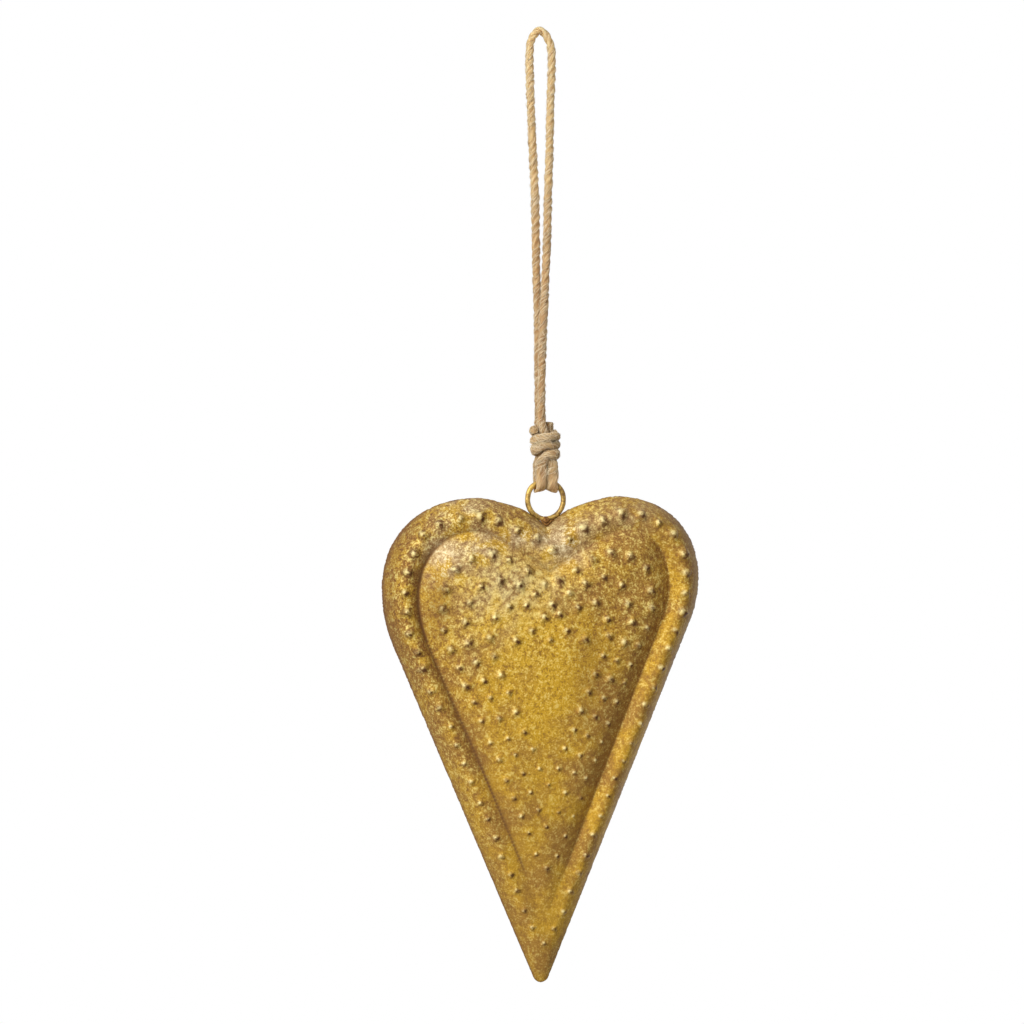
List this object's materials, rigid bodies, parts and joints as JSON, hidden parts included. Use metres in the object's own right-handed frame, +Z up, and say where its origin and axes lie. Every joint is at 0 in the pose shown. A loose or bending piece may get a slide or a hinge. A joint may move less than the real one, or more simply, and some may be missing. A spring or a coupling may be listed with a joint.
{
  "type": "hanging heart ornament",
  "caption": "Hollow hanging heart of pressed, dotted sheet metal in antique gold, with a wire ring in the cleft and a looped, knotted natural cord to hang it by.",
  "frame": {"origin": "the seat of the hook, inside the top of the cord's loop, where the ornament hangs", "axes": "+Z up along the hanging cord, +X to the right of someone facing the ornament, the front faces -Y"},
  "size_m": [0.1339, 0.0324, 0.3939],
  "materials": {
    "gold": "grainy antique gold over brown, rubbed on the high places",
    "wire": "dull, aged",
    "seam": "dull, dark gold",
    "cord": "natural three-strand jute, slightly hairy"
  },
  "bodies": {
    "hanging_loop": {"cord_loop": "cord"},
    "hitch": {"cord_knot": "cord", "cord_bight_left": "cord", "cord_bight_right": "cord"},
    "heart": {"front_shell": "gold", "back_shell": "gold", "rim_seam": "seam", "hanging_ring": "wire", "ring_solder": "seam"}
  },
  "joints": [
    {"name": "cord_twist", "type": "hinge", "parent": "hanging_loop", "child": "hitch", "pos_m": [0, 0, -0.15865], "axis": [0, 0, 1], "range_deg": [-180, 180], "stiffness_Nm_per_rad": 0.0005},
    {"name": "heart_swing", "type": "hinge", "parent": "hitch", "child": "heart", "pos_m": [0.00235, 0, -0.18425], "axis": [1, 0, 0], "range_deg": [-90, 90]}
  ]
}
